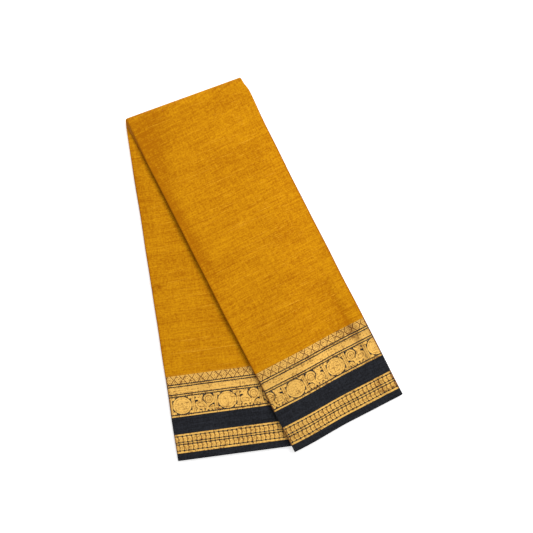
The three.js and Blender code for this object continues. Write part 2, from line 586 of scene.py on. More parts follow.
@dataclass(frozen=True)
class Folding:
    """How the cloth is folded in half, again and again, and how neatly."""

    pad: Pad
    visible_step: float = 2.7 * MM
    visible_turn: int = 18
    hidden_turn: int = 5
    hidden_lines: int = 21
    packet_short: tuple[float, ...] = (1.6 * MM, 2.6 * MM, 1.7 * MM, 0.8 * MM, 0.2 * MM)
    hem_spread: float = 0.8 * MM
    free_end: int = 0
    squareness: float = 0.36

    def levels(self) -> list[int]:
        """Works out how the runs of cloth are stacked.

        Returns:
            Each run's level in the stack, in order along the cloth.
        """
        columns = [[run] for run in range(self.pad.layers)]
        while len(columns) > 1:
            half = len(columns) // 2
            turned = [columns[half - 1 - i][::-1] for i in range(half)]
            columns = [columns[half + i] + turned[i] for i in range(half)]
        stack = columns[0]
        return [stack.index(run) for run in reversed(range(self.pad.layers))]

    def packet(self, level: int) -> int:
        """Returns which packet a level folds with at the right edge, from the free ends."""
        return level.bit_length() - 1 if level > 1 else self.free_end

    def right_end(self, level: int, free: bool) -> float:
        """Finds where a run's straight part ends at the right.

        Args:
            level: the run's level in the stack.
            free: whether the cloth ends there, with no turn.

        Returns:
            The distance across the pad.
        """
        packet = self.packet(level)
        turn = 0.0 if free else 2 ** (packet - 1) * self.pad.pitch
        return self.pad.width - self.packet_short[packet] - turn

    def left_edge(self) -> float:
        """Returns the length of cloth before the middle of the outermost turn at the left."""
        path, _ = self.path(())
        return float(path.u[np.argmin(path.x)])

    def turn(
        self, start: float, level: int, after: int, leftward: bool, steps: int
    ) -> list[tuple[float, float]]:
        """Lays one turn of the cloth, squarer at the left, where it was pressed flat.

        Args:
            start: where across the pad the turn starts.
            level: the level of the run before it.
            after: the level of the run after it.
            leftward: whether it lies at the left.
            steps: how many steps it takes.

        Returns:
            The distance across the pad and the height of each point along it.
        """
        middle = (level + after + 1) / 2 * self.pad.pitch
        radius = abs(after - level) / 2 * self.pad.pitch
        side = -1 if leftward else 1
        rise = math.copysign(1, after - level)
        points = []
        for i in range(1, steps):
            angle = math.pi * i / steps
            out, up = math.sin(angle), -math.cos(angle)
            if leftward:
                out, up = out**self.squareness, math.copysign(abs(up) ** self.squareness, up)
            points.append((start + radius * out * side, middle + radius * up * rise))
        return points

    def path(self, fine_runs: tuple[int, ...]) -> tuple[Section, int]:
        """Lays the whole cloth from its free end on the inside to its other free end.

        Args:
            fine_runs: the runs of cloth that are seen, which have closely spaced points.

        Returns:
            The section, and the point where the outermost turn at the right edge ends.
        """
        pad = self.pad
        draw = np.random.default_rng(SEED)
        levels = self.levels()
        left = pad.thickness / 2
        rows: list[tuple[float, float, float, float]] = []
        outer_end = 0
        for run, level in enumerate(levels):
            leftward = run % 2 == 0
            nearest = [levels[i] for i in (run - 1, run + 1) if 0 <= i < len(levels)]
            last = run + 1 == len(levels)
            free = run == 0 or last
            after = level if last else nearest[-1]
            end = self.right_end(level, free)
            outer = run < 2
            ragged = 0.0 if outer else float(abs(draw.normal(0.0, self.hem_spread)))
            packet = float(self.packet(level))
            fine_lines = round(pad.width / self.visible_step)
            count = fine_lines if run in fine_runs else self.hidden_lines
            shares = np.linspace(1, 0, count) if leftward else np.linspace(0, 1, count)
            height = (level + 0.5) * pad.pitch
            rows += [(float(x), height, ragged, packet) for x in mix(left, end, shares)]
            if last:
                break
            steps = self.visible_turn if outer else self.hidden_turn
            turn = self.turn(left if leftward else end, level, after, leftward, steps)
            rows += [(*place, ragged, packet) for place in turn]
            if run == 1:
                outer_end = len(rows)
        x, h, short, packets = (np.array(column) for column in zip(*rows))
        u = np.concatenate([[0.0], np.cumsum(np.hypot(np.diff(x), np.diff(h)))])
        return Section(x, h, u, short, packets), outer_end


@dataclass(frozen=True)
class Weft:
    """Turns stretches of the folded cloth into closed, thin bodies."""

    laying: Laying
    # Painted shade where the cloth turns down at the pad's edges, weaker near the top fold.
    painted_turn_shade: float = -1.25
    painted_turn_shade_least: float = 0.3
    painted_turn_shade_over: float = 0.11
    outer_share: float = 0.9
    map_gap: float = 0.01

    def faces(self, rows: int, columns: int) -> np.ndarray:
        """Joins two sheets of points, the outer and then the inner, into a closed body.

        Args:
            rows: how many rows of points a sheet has.
            columns: how many points a row has.

        Returns:
            Four point numbers for each face.
        """
        count = rows * columns
        number = np.arange(count).reshape(rows, columns)
        first, second = number[:-1, :-1].ravel(), number[:-1, 1:].ravel()
        third, fourth = number[1:, 1:].ravel(), number[1:, :-1].ravel()
        front = np.column_stack([first, second, third, fourth])
        back = front[:, ::-1] + count
        rim = np.concatenate([number[0, :-1], number[:-1, -1], number[-1, :0:-1], number[:0:-1, 0]])
        after = np.roll(rim, -1)
        edge = np.column_stack([after, rim, rim + count, after + count])
        return np.vstack([front, back, edge])

    def bake_map(self, path: Section, stations: np.ndarray) -> np.ndarray:
        """Lays both sheets side by side, so that no two places share a place on the map.

        Args:
            path: the stretch of cloth in section.
            stations: where along the pad its rows of points lie.

        Returns:
            A place on the map for each point, the outer sheet's first.
        """
        share = (path.u - path.u[0]) / (path.u[-1] - path.u[0])
        down = (stations - stations[0]) / (stations[-1] - stations[0])
        start = self.outer_share + self.map_gap
        outer = np.stack(np.meshgrid(share * self.outer_share, down), -1)
        inner = np.stack(np.meshgrid(start + share * (1 - start), down), -1)
        return np.vstack([outer.reshape(-1, 2), inner.reshape(-1, 2)])

    def shade(self, path: Section, stations: np.ndarray, moved: list[np.ndarray]) -> np.ndarray:
        """Finds the painted shade and light of each point: that of the folds, and painted shade where
        the cloth turns down at the pad's edges.

        Args:
            path: the stretch of cloth in section.
            stations: where along the pad its rows of points lie.
            moved: each row's distances across the pad.

        Returns:
            Painted shade and light, one row for each station.
        """
        painted_shades = np.array([self.laying.tone(station, x) for station, x in zip(stations, moved)])
        downs = np.array([self.laying.down(station, x) for station, x in zip(stations, moved)])
        turned = mix(self.painted_turn_shade_least, 1.0, ease(downs / self.painted_turn_shade_over))
        return painted_shades + self.painted_turn_shade * (turned * np.abs(path.run[:, 1]))

    def body(
        self, name: str, path: Section, stations: np.ndarray, hidden: bool
    ) -> bpy.types.Object:
        """Builds one stretch of cloth as a closed body.

        Args:
            name: the piece's name.
            path: the stretch of cloth in section.
            stations: where along the pad its rows of points lie.
            hidden: whether this cloth lies within the pad.

        Returns:
            The new object, with its cloth map and its bake map.
        """
        laying = self.laying
        sides = []
        for side in (0.5, -0.5):
            offset = side * laying.pad.cloth
            grid = [laying.place(station, path, hidden, offset) for station in stations]
            sides.append(np.array(grid).reshape(-1, 3))
        moved = [laying.follow_drape(station, path.x) for station in stations]
        cloth = [
            np.column_stack([path.cloth_run(x), laying.across_cloth(station, x)])
            for station, x in zip(stations, moved)
        ]
        cloth_map = np.tile(np.array(cloth).reshape(-1, 2), (2, 1))
        maps = {CLOTH_MAP: cloth_map, BAKE_MAP: self.bake_map(path, stations)}
        faces = self.faces(len(stations), len(path.x))
        piece = make_object(name, np.vstack(sides), faces, maps)
        # The shade attribute holds the painted shade and light of each point.
        painted_shades = self.shade(path, stations, moved)
        shade = piece.data.attributes.new(SHADE, "FLOAT", "POINT")
        shade.data.foreach_set("value", np.tile(painted_shades.ravel(), 2).astype(np.float32))
        return piece


def make_object(
    name: str, points: np.ndarray, faces: np.ndarray, maps: dict[str, np.ndarray]
) -> bpy.types.Object:
    """Makes a smooth object from four-sided faces.

    Args:
        name: the object's name.
        points: its points, one row each.
        faces: four point numbers for each face.
        maps: UV layers by name, with one row for each point.

    Returns:
        The new object, in the scene.
    """
    mesh = bpy.data.meshes.new(name)
    mesh.vertices.add(len(points))
    mesh.vertices.foreach_set("co", points.astype(np.float32).ravel())
    mesh.loops.add(faces.size)
    mesh.loops.foreach_set("vertex_index", faces.astype(np.int32).ravel())
    mesh.polygons.add(len(faces))
    mesh.polygons.foreach_set("loop_start", np.arange(0, faces.size, 4, dtype=np.int32))
    mesh.update(calc_edges=True)
    for label, places in maps.items():
        layer = mesh.uv_layers.new(name=label)
        layer.uv.foreach_set("vector", places[faces.ravel()].astype(np.float32).ravel())
    mesh.validate()
    mesh.polygons.foreach_set("use_smooth", np.ones(len(mesh.polygons), dtype=bool))
    mesh.set_sharp_from_angle(angle=SHARP_ANGLE)
    piece = bpy.data.objects.new(name, mesh)
    bpy.context.scene.collection.objects.link(piece)
    return piece


@dataclass(frozen=True)
class Wire:
    """A number that flows through a shader, so that its shapes read as plain sums."""

    tree: bpy.types.NodeTree
    socket: bpy.types.NodeSocket

    def maths(self, operation: str, *others: "Wire | float", clamp: bool = False) -> "Wire":
        """Adds a maths node.

        Args:
            operation: the node's operation.
            others: its other numbers.
            clamp: whether the result is kept between 0 and 1.

        Returns:
            The result.
        """
        node = self.tree.nodes.new("ShaderNodeMath")
        node.operation = operation
        node.use_clamp = clamp
        for place, value in enumerate((self, *others)):
            if isinstance(value, Wire):
                self.tree.links.new(value.socket, node.inputs[place])
            else:
                node.inputs[place].default_value = value
        return Wire(self.tree, node.outputs[0])

    def __add__(self, other: "Wire | float") -> "Wire":
        """Returns the sum."""
        return self.maths("ADD", other)

    def __sub__(self, other: "Wire | float") -> "Wire":
        """Returns the difference."""
        return self.maths("SUBTRACT", other)

    def __mul__(self, other: "Wire | float") -> "Wire":
        """Returns the product."""
        return self.maths("MULTIPLY", other)

    def __truediv__(self, other: "Wire | float") -> "Wire":
        """Returns the quotient."""
        return self.maths("DIVIDE", other)

    def __neg__(self) -> "Wire":
        """Returns the number with its sign changed."""
        return self.maths("MULTIPLY", -1.0)

    def __abs__(self) -> "Wire":
        """Returns the number without its sign."""
        return self.maths("ABSOLUTE")

    def least(self, *others: "Wire | float") -> "Wire":
        """Finds the least of several numbers, which joins shapes.

        Args:
            others: the other numbers.

        Returns:
            The least.
        """
        result = self
        for other in others:
            result = result.maths("MINIMUM", other)
        return result

    def most(self, *others: "Wire | float") -> "Wire":
        """Finds the most of several numbers, which keeps what shapes share.

        Args:
            others: the other numbers.

        Returns:
            The most.
        """
        result = self
        for other in others:
            result = result.maths("MAXIMUM", other)
        return result

    def wrap(self, period: float) -> "Wire":
        """Returns the number repeated about 0 with a period."""
        return self.maths("WRAP", period / 2, -period / 2)

    def hypot(self, other: "Wire") -> "Wire":
        """Returns the length of a plane vector."""
        return self.maths("MULTIPLY_ADD", self, other * other).maths("SQRT")

    def inside(self, soft: float = 0.3) -> "Wire":
        """Returns a mask of where a shape's distance is below 0."""
        return self.maths("MULTIPLY_ADD", -1.0 / soft, 0.5, clamp=True)

    def wave(self, period: float) -> "Wire":
        """Returns a sine wave from -1 to 1."""
        return (self * (math.tau / period)).maths("SINE")


Point = tuple[float, float]
Disc = tuple[float, float, float]
Oval = tuple[Point, Point, float]
Stroke = tuple[Point, Point, float, float]


@dataclass(frozen=True)
class Spot:
    """A place on the cloth from which the distance to woven shapes is told, in millimetres.

    Distances are below 0 inside a shape. Along runs with the hem and away leads to the field.
    """

    along: Wire
    away: Wire

    def moved(self, along: float, away: float) -> "Spot":
        """Returns the spot as seen from a new middle."""
        return Spot(self.along - along, self.away - away)

    def turned(self, degrees: float) -> "Spot":
        """Turns the axes anticlockwise.

        Args:
            degrees: how far.

        Returns:
            The spot as seen from them.
        """
        c, s = math.cos(math.radians(degrees)), math.sin(math.radians(degrees))
        along = self.along.maths("MULTIPLY_ADD", c, self.away * s)
        return Spot(along, self.away.maths("MULTIPLY_ADD", c, self.along * -s))

    def disc(self, along: float, away: float, radius: float) -> Wire:
        """Returns the distance to a disc."""
        spot = self.moved(along, away)
        return spot.along.hypot(spot.away) - radius

    def oval(self, middle: Point, radii: Point, turn: float = 0.0) -> Wire:
        """Returns about the distance to an oval.

        Args:
            middle: its middle.
            radii: its half length and half height.
            turn: how far it is turned anticlockwise, in degrees.

        Returns:
            The distance.
        """
        spot = self.moved(*middle).turned(turn) if turn else self.moved(*middle)
        scaled = (spot.along / radii[0]).hypot(spot.away / radii[1])
        return (scaled - 1.0) * min(radii)

    def rhomb(self, half_length: float, half_height: float) -> Wire:
        """Finds about the distance to an upright rhomb about the middle.

        Args:
            half_length: its half length.
            half_height: its half height.

        Returns:
            The distance.
        """
        sides = abs(self.along) * (half_height / half_length) + abs(self.away)
        steep = math.hypot(1.0, half_height / half_length)
        return (sides - half_height) / steep

    def row(self, low: float, high: float) -> Wire:
        """Returns the distance to a row between two distances away."""
        return abs(self.away - (low + high) / 2) - (high - low) / 2

    def stem(self, start: Point, end: Point, wide: float, slim: float) -> Wire:
        """Returns the distance to a tapered, round-ended stroke.

        Args:
            start: where it starts.
            end: where it ends.
            wide: its radius at the start.
            slim: its radius at the end.

        Returns:
            The distance.
        """
        run, rise = end[0] - start[0], end[1] - start[1]
        length = math.hypot(run, rise)
        local = self.moved(*start).turned(math.degrees(math.atan2(rise, run)))
        share = local.along.maths("MULTIPLY", 1.0 / length, clamp=True)
        gap = (local.along - share * length).hypot(local.away)
        return gap - share.maths("MULTIPLY_ADD", slim - wide, wide)


class Mask:
    """A shader node group that turns numbers into masks and values."""

    def __init__(self, name: str, inputs: tuple[str, ...], outputs: tuple[str, ...]) -> None:
        """Makes an empty group.

        Args:
            name: the group's name.
            inputs: the names of the numbers that it reads.
            outputs: the names of the masks and values that it gives.
        """
        self.tree = bpy.data.node_groups.new(name, "ShaderNodeTree")
        new = self.tree.interface.new_socket
        for label in inputs:
            new(name=label, in_out="INPUT", socket_type="NodeSocketFloat")
        for label in outputs:
            new(name=label, in_out="OUTPUT", socket_type="NodeSocketFloat")
        self.entry = self.tree.nodes.new("NodeGroupInput")
        self.exit = self.tree.nodes.new("NodeGroupOutput")

    def read(self, label: str) -> Wire:
        """Returns a number that the group reads."""
        return Wire(self.tree, self.entry.outputs[label])

    def spot(self) -> Spot:
        """Returns the place that the group reads."""
        return Spot(self.read("Along"), self.read("Away"))

    def write(self, **wires: Wire) -> None:
        """Gives the group's results by name.

        Args:
            wires: the results.
        """
        for label, wire in wires.items():
            self.tree.links.new(wire.socket, self.exit.inputs[label])

    def placed(self, tree: bpy.types.NodeTree, **values: Wire) -> dict[str, Wire]:
        """Places the group in a tree.

        Args:
            tree: the tree to place it in.
            values: what its inputs read.

        Returns:
            Its results by name.
        """
        node = tree.nodes.new("ShaderNodeGroup")
        node.node_tree = self.tree
        for label, value in values.items():
            tree.links.new(value.socket, node.inputs[label])
        return {socket.name: Wire(tree, socket) for socket in node.outputs}


@dataclass(frozen=True)
class Streaks:
    """Noise drawn out along the cloth: streaks of a length and height, in millimetres."""

    length: float
    height: float
    seed: float
    weight: float = 1.0
    detail: float = 1.5

    def at(self, spot: Spot) -> Wire:
        """Adds the noise to a tree.

        Args:
            spot: the place on the cloth.

        Returns:
            A number about 0, mostly between half the weight below and half above.
        """
        tree = spot.along.tree
        joined = tree.nodes.new("ShaderNodeCombineXYZ")
        for place, wire in enumerate((spot.along / self.length, spot.away / self.height)):
            tree.links.new(wire.socket, joined.inputs[place])
        joined.inputs[2].default_value = self.seed
        noise = tree.nodes.new("ShaderNodeTexNoise")
        noise.inputs["Scale"].default_value = 1.0
        noise.inputs["Detail"].default_value = self.detail
        tree.links.new(joined.outputs[0], noise.inputs["Vector"])
        return (Wire(tree, noise.outputs["Fac"]) - 0.5) * self.weight


@dataclass(frozen=True)
class Threads:
    """The weave that every stretch of cloth shows: fine threads, and streaks of uneven dye."""

    pitch: float = 0.48
    twill_pitch: float = 0.96
    twill_slope: float = 0.8
    fine: tuple[Streaks, ...] = (
        Streaks(34.0, 0.9, 3.1, 1.5), Streaks(90.0, 2.2, 7.7), Streaks(1.0, 30.0, 5.3),
        Streaks(2.6, 2.2, 9.4, 2.0),
    )
    broad: tuple[Streaks, ...] = (Streaks(60.0, 42.0, 1.3), Streaks(15.0, 12.0, 2.6, 0.6))

    def layered(self, spot: Spot, streaks: tuple[Streaks, ...]) -> Wire:
        """Adds up streaks of several sizes.

        Args:
            spot: the place on the cloth.
            streaks: the streaks.

        Returns:
            Their sum.
        """
        total = streaks[0].at(spot)
        for more in streaks[1:]:
            total = total + more.at(spot)
        return total

    def build(self) -> Mask:
        """Builds the group for the weave's height and the dye's unevenness.

        Returns:
            The group.
        """
        mask = Mask("threads", ("Along", "Away"), ("Plain", "Twill", "Streaks", "Broad"))
        spot = mask.spot()
        mask.write(
            Plain=spot.along.wave(2 * self.pitch) * spot.away.wave(2 * self.pitch),
            Twill=(spot.along + spot.away * self.twill_slope).wave(self.twill_pitch),
            Streaks=self.layered(spot, self.fine),
            Broad=self.layered(spot, self.broad),
        )
        return mask


@dataclass(frozen=True)
class BirdMotif:
    """A walking bird with a looped tail, as woven in such borders, drawn about its cell's middle.

    An oval is told by its middle, its radii and its turn, a stroke by its ends and its radius at
    each, and a disc by its middle and radius.
    """

    loop: Oval = ((-7.0, 4.9), (8.3, 8.6), -12)
    loop_stem: Stroke = ((-5.4, -1.4), (-3.9, -8.0), 3.4, 1.6)
    body: Oval = ((6.9, -2.9), (8.6, 6.4), 20)
    neck: Stroke = ((5.6, 1.8), (7.6, 8.4), 3.4, 3.0)
    head: Disc = (8.2, 9.4, 3.9)
    beak: Stroke = ((10.4, 8.9), (14.4, 7.2), 1.7, 0.8)
    loop_blend: float = 2.0
    blends: tuple[float, float, float] = (1.2, 0.8, 0.4)
    crest: tuple[Stroke, ...] = (
        ((3.2, 12.4), (6.2, 5.6), 1.5, 2.6), ((12.0, 12.6), (8.6, 7.6), 1.6, 2.4),
    )
    feet: tuple[Stroke, ...] = (
        ((-3.9, -8.0), (-7.6, -12.8), 1.3, 1.4), ((-3.9, -8.0), (-0.6, -13.0), 1.3, 1.3),
        ((5.0, -7.0), (3.6, -13.0), 1.4, 1.7), ((9.6, -6.6), (13.2, -12.6), 1.3, 1.7),
    )
    leaf: Oval = ((-11.6, -8.2), (3.9, 3.0), -20)
    berries: tuple[Disc, ...] = (
        (7.6, 13.3, 1.2), (-12.4, -12.9, 1.5), (0.6, -7.6, 1.9), (-14.6, -0.9, 1.0),
        (15.2, 13.2, 1.1), (14.9, -8.0, 1.1), (8.5, -12.9, 1.6),
    )
    swollen: float = 0.4
    parted: tuple[Stroke, ...] = (
        ((2.2, 9.4), (1.6, 4.4), 0.6, 0.65), ((1.6, 4.4), (-2.4, -1.8), 0.65, 0.6),
    )
    rings: tuple[tuple[Oval, float], ...] = (
        (((-7.0, 4.7), (5.6, 6.1), -12), 0.5), (((6.8, -3.0), (5.3, 3.1), 18), 0.28),
        (((-7.0, 4.2), (2.6, 3.2), -12), 0.25), (((-11.6, -8.2), (2.1, 1.3), -20), 0.2),
    )
    eye: Disc = (8.8, 9.6, 0.55)
    veins: tuple[Stroke, ...] = (
        ((-6.4, -10.6), (-7.6, -7.4), 0.3, 0.5), ((3.4, 7.4), (4.6, 3.2), 0.35, 0.3),
        ((6.6, 12.4), (7.0, 10.9), 0.3, 0.3),
    )

    def build(self) -> Mask:
        """Builds the group for the motif.

        Returns:
            The group, which gives the distances to the gold and to its inner lines.
        """
        mask = Mask("bird_motif", ("Along", "Away"), ("Gold", "Lines"))
        spot = mask.spot()
        loop_stem = spot.stem(*self.loop_stem)
        tail = spot.oval(*self.loop).maths("SMOOTH_MIN", loop_stem, self.loop_blend)
        bird = spot.oval(*self.body)
        parts = (spot.stem(*self.neck), spot.disc(*self.head), spot.stem(*self.beak))
        for part, blend in zip(parts, self.blends):
            bird = bird.maths("SMOOTH_MIN", part, blend)
        strokes = [spot.stem(*stroke) for stroke in (*self.crest, *self.feet)]
        berries = [spot.disc(*berry) for berry in self.berries]
        gold = bird.least(tail, spot.oval(*self.leaf), *strokes, *berries) - self.swollen
        parted = [-spot.stem(*stroke) for stroke in self.parted]
        rings = [abs(spot.oval(*oval)) - half for oval, half in self.rings]
        veins = [spot.stem(*stroke) for stroke in self.veins]
        mask.write(Gold=gold.most(*parted), Lines=spot.disc(*self.eye).least(*rings, *veins))
        return mask


@dataclass(frozen=True)
class Medallion:
    """The round medallion and the small discs in its cell's corners."""

    radii: Point = (15.1, 13.9)
    corner_discs: tuple[Disc, ...] = ((13.2, 12.1, 2.8), (9.4, 13.9, 0.7), (15.5, 8.2, 0.8))
    rings: tuple[Point, ...] = ((11.6, 0.18), (7.2, 0.14), (2.4, 0.2))

    def draw(self, spot: Spot) -> tuple[Wire, Wire]:
        """Draws the motif.

        Args:
            spot: a place seen from the medallion's middle.

        Returns:
            The distances to the gold and to its inner lines.
        """
        corner = Spot(abs(spot.along), abs(spot.away))
        corners = [corner.disc(*disc) for disc in self.corner_discs]
        radius = spot.along.hypot(spot.away)
        rings = [abs(radius - middle) - half for middle, half in self.rings]
        return spot.oval((0, 0), self.radii).least(*corners), rings[0].least(*rings[1:])


@dataclass(frozen=True)
class Pillar:
    """An upright pillar of two twisted strips."""

    half: float = 2.75
    seam_half: float = 0.3
    strip_middle: float = 1.5
    strip_half: float = 0.8
    twist_slope: float = 0.9
    twist_pitch: float = 2.6
    twist_half: float = 0.2

    def draw(self, spot: Spot) -> tuple[Wire, Wire]:
        """Draws the motif.

        Args:
            spot: a place seen from the pillar's middle.

        Returns:
            The distances to the gold and to its inner lines.
        """
        aside = abs(spot.along)
        strip = aside - self.strip_middle
        twist = abs((spot.away + strip * self.twist_slope).wrap(self.twist_pitch))
        twisted = (abs(strip) - self.strip_half).most(twist - self.twist_half)
        return aside - self.half, (aside - self.seam_half).least(twisted)


@dataclass(frozen=True)
class ScrollRow:
    """A row of small scrolls with dark knots between them."""

    pitch: float = 7.28
    half: float = 4.95
    outline_half: float = 0.56
    outline_reach: float = 1.3
    knot: Point = (2.6, 1.6)
    cuts: tuple[Stroke, ...] = (
        ((0.5, 4.45), (-0.9, 0.5), 0.55, 1.2), ((-0.9, 0.5), (0.3, -4.45), 1.2, 0.55),
    )
    curl: Oval = ((0.2, -1.0), (1.5, 2.0), 0)
    curl_half: float = 0.2

    def draw(self, spot: Spot) -> tuple[Wire, Wire]:
        """Draws the row.

        Args:
            spot: a place seen from the row's middle line.

        Returns:
            The distances to the dark knots and outlines and to the scrolls' inner lines.
        """
        unit = Spot(spot.along.wrap(self.pitch), spot.away)
        aside = abs(spot.away) - self.half
        edge = abs(aside)
        knots = Spot(unit.along, edge).rhomb(*self.knot)
        dark = knots.least(edge - self.outline_half).most(aside - self.outline_reach)
        beside = Spot((unit.along - self.pitch / 2).wrap(self.pitch), unit.away)
        curl = abs(beside.oval(*self.curl)) - self.curl_half
        cuts = [unit.stem(*cut) for cut in self.cuts]
        return dark, curl.least(*cuts).most(aside)


@dataclass(frozen=True)
class DiamondRow:
    """A row of diamonds with small rings between them."""

    pitch: float = 14.56
    whole: Point = (6.6, 9.4)
    outline_half: float = 0.8
    inner: Point = (3.3, 4.8)
    inner_half: float = 0.26
    seed: Point = (1.0, 1.5)
    rings: tuple[Disc, ...] = ((0, 5.6, 1.5), (0, -5.6, 1.5))
    ring_half: float = 0.16

    def draw(self, spot: Spot) -> tuple[Wire, Wire, Wire]:
        """Draws the row.

        Args:
            spot: a place seen from the row's middle line.

        Returns:
            The distances to the outlines, the fainter inner lines and the ground between.
        """
        unit = Spot(spot.along.wrap(self.pitch), spot.away)
        whole = unit.rhomb(*self.whole)
        inner = abs(unit.rhomb(*self.inner)) - self.inner_half
        between = Spot(abs(unit.along) - self.pitch / 2, unit.away)
        rings = [abs(between.disc(*ring)) - self.ring_half for ring in self.rings]
        faint = inner.least(unit.rhomb(*self.seed), *rings)
        return abs(whole) - self.outline_half, faint, -whole


@dataclass(frozen=True)
class TwistedLine:
    """A thin line of slanting beads, like a twisted cord."""

    half: float = 1.0
    core_inset: float = 0.42
    pitch: float = 3.64
    slope: float = 0.8
    bead_half: float = 1.35

    def draw(self, spot: Spot, away: float) -> Wire:
        """Draws one line.

        Args:
            spot: a place on the cloth.
            away: how far from the hem the line lies.

        Returns:
            The distance to its dark parts.
        """
        beads = abs((spot.along + spot.away * self.slope).wrap(self.pitch)) - self.bead_half
        line = abs(spot.away - away) - self.half
        return line.most(beads).least(line + self.core_inset)


@dataclass(frozen=True)
class BorderLayout:
    """The rows of the woven border, told by their distance from the hem, in millimetres."""

    repeat: float = 72.8
    phase: float = 47.2
    lower_lines: Point = (11.7, 42.8)
    broad_panel: Point = (71.2, 138.6)
    bird_row: Point = (75.3, 103.2)
    scroll_rows: tuple[float, ...] = (20.7, 34.3)
    twisted_lines: tuple[float, ...] = (74.5, 104.2, 107.7, 120.5, 124.2)
    plain_band: Point = (109.0, 119.2)
    diamond_row: Point = (124.9, 139.2)
    medallion: Medallion = Medallion()
    pillar: Pillar = Pillar()
    scrolls: ScrollRow = ScrollRow()
    diamonds: DiamondRow = DiamondRow()
    twisted: TwistedLine = TwistedLine()
    motif_gap: float = 0.4
    medallion_rim: float = 0.6
    pillar_rim: float = 0.2
    bird_rim: float = 0.3
    diamond_rim: float = 0.3
    diamond_gap: float = 0.75
    selvedge: float = 1.1
    swell_over: float = 1.4
    gold_soft: float = 0.35
    line_soft: float = 0.5
    antique_soft: float = 0.6
    border_soft: float = 0.3
    selvedge_soft: float = 1.0

    def bird_band(self, spot: Spot, bird: Mask) -> tuple[Wire, Wire]:
        """Draws the row of medallions and birds with pillars between them.

        Args:
            spot: a place seen from the middle of a medallion, along the hem.
            bird: the bird motif's group.

        Returns:
            The distances to the dark ground and to the inner lines.
        """
        cell = Spot(spot.along.wrap(self.repeat), spot.away - sum(self.bird_row) / 2)
        opposite = Spot((spot.along - self.repeat / 2).wrap(self.repeat), cell.away)
        beside = Spot(abs(cell.along) - self.repeat / 4, cell.away)
        disc_gold, disc_lines = self.medallion.draw(cell)
        pillar_gold, pillar_lines = self.pillar.draw(beside)
        drawn = bird.placed(spot.along.tree, Along=opposite.along, Away=opposite.away)
        reach = self.repeat / 4 - self.pillar.half - self.motif_gap
        bird_gold = drawn["Gold"].most(abs(opposite.along) - reach)
        in_row = spot.row(*self.bird_row)
        lines = disc_lines.most(disc_gold + self.medallion_rim)
        lines = lines.least(pillar_lines.most(pillar_gold + self.pillar_rim))
        lines = lines.least(drawn["Lines"].most(bird_gold + self.bird_rim))
        return in_row.most(-(disc_gold.least(pillar_gold, bird_gold))), lines.most(in_row)

    def build(self, bird: Mask) -> Mask:
        """Builds the group, which gives masks of the gold, its inner lines and the whole border.

        Args:
            bird: the bird motif's group.

        Returns:
            The group.
        """
        results = ("Gold", "Lines", "Swell", "Antique", "Border", "Selvedge")
        mask = Mask("border_layout", ("Along", "Away"), results)
        spot = mask.spot()
        centred = Spot(spot.along - self.phase, spot.away)
        dark, lines = self.bird_band(centred, bird)
        for row in self.scroll_rows:
            knots, cuts = self.scrolls.draw(centred.moved(0.0, row))
            dark, lines = dark.least(knots), lines.least(cuts)
        for row in self.twisted_lines:
            dark = dark.least(self.twisted.draw(centred, row))
        middle = sum(self.diamond_row) / 2
        outline, faint, between = self.diamonds.draw(centred.moved(0.0, middle))
        in_row = spot.row(*self.diamond_row)
        dark = dark.least((outline + self.diamond_gap).most(in_row))
        lines = lines.least(outline.least(faint).most(in_row + self.diamond_rim))
        panels = spot.row(*self.lower_lines).least(spot.row(*self.broad_panel))
        gold = panels.most(-dark)
        antique = between.most(in_row).least(spot.row(*self.plain_band))
        mask.write(
            Gold=gold.inside(self.gold_soft),
            Lines=lines.inside(self.line_soft),
            Swell=(-gold).maths("MULTIPLY", 1.0 / self.swell_over, clamp=True),
            Antique=antique.inside(self.antique_soft),
            Border=(spot.away - self.broad_panel[1]).inside(self.border_soft),
            Selvedge=(spot.away - self.selvedge).inside(self.selvedge_soft),
        )
        return mask


Colour = tuple[float, float, float]


def linear(red: int, green: int, blue: int) -> Colour:
    """Turns a display colour, 0 to 255, into linear light.

    Args:
        red: how red it is.
        green: how green it is.
        blue: how blue it is.

    Returns:
        The colour.
    """
    return tuple(
        (value / 255 / 12.92) if value <= 10 else ((value / 255 + 0.055) / 1.055) ** 2.4
        for value in (red, green, blue)
    )


@dataclass(frozen=True)
class Dye:
    """The colours of the cloth's yarns, and field_shadow, the colour that the deepest painted shade
    goes to.
    """

    field_deep: Colour = linear(174, 104, 8)
    field_light: Colour = linear(217, 150, 17)
    # painted shade colour for the turned edges and the dimple
    field_shadow: Colour = linear(112, 60, 4)
    slub_deep: Colour = linear(206, 136, 18)
    slub_light: Colour = linear(246, 184, 42)
    ground: Colour = linear(19, 21, 26)
    ground_light: Colour = linear(40, 43, 50)
    selvedge: Colour = linear(12, 14, 20)
    gold: Colour = linear(255, 200, 101)
    gold_deep: Colour = linear(118, 70, 28)
    cord_deep: Colour = linear(14, 16, 22)
    cord_light: Colour = linear(36, 39, 48)


def mixed(tree: bpy.types.NodeTree, share: Wire, low: Colour | Wire, high: Colour | Wire) -> Wire:
    """Mixes two colours.

    Args:
        tree: the tree to mix in.
        share: how much of the high colour there is.
        low: the colour at 0.
        high: the colour at 1.

    Returns:
        The mixed colour.
    """
    node = tree.nodes.new("ShaderNodeMix")
    node.data_type = "RGBA"
    tree.links.new(share.socket, node.inputs["Factor"])
    for label, value in (("A", low), ("B", high)):
        socket = next(s for s in node.inputs if s.name == label and s.type == "RGBA")
        if isinstance(value, Wire):
            tree.links.new(value.socket, socket)
        else:
            socket.default_value = (*value, 1.0)
    result = next(s for s in node.outputs if s.type == "RGBA")
    return Wire(tree, result)


class Weave(Enum):
    """What a stretch of cloth shows."""

    FIELD = "field"
    BORDER = "border"
    BOTH = "both"


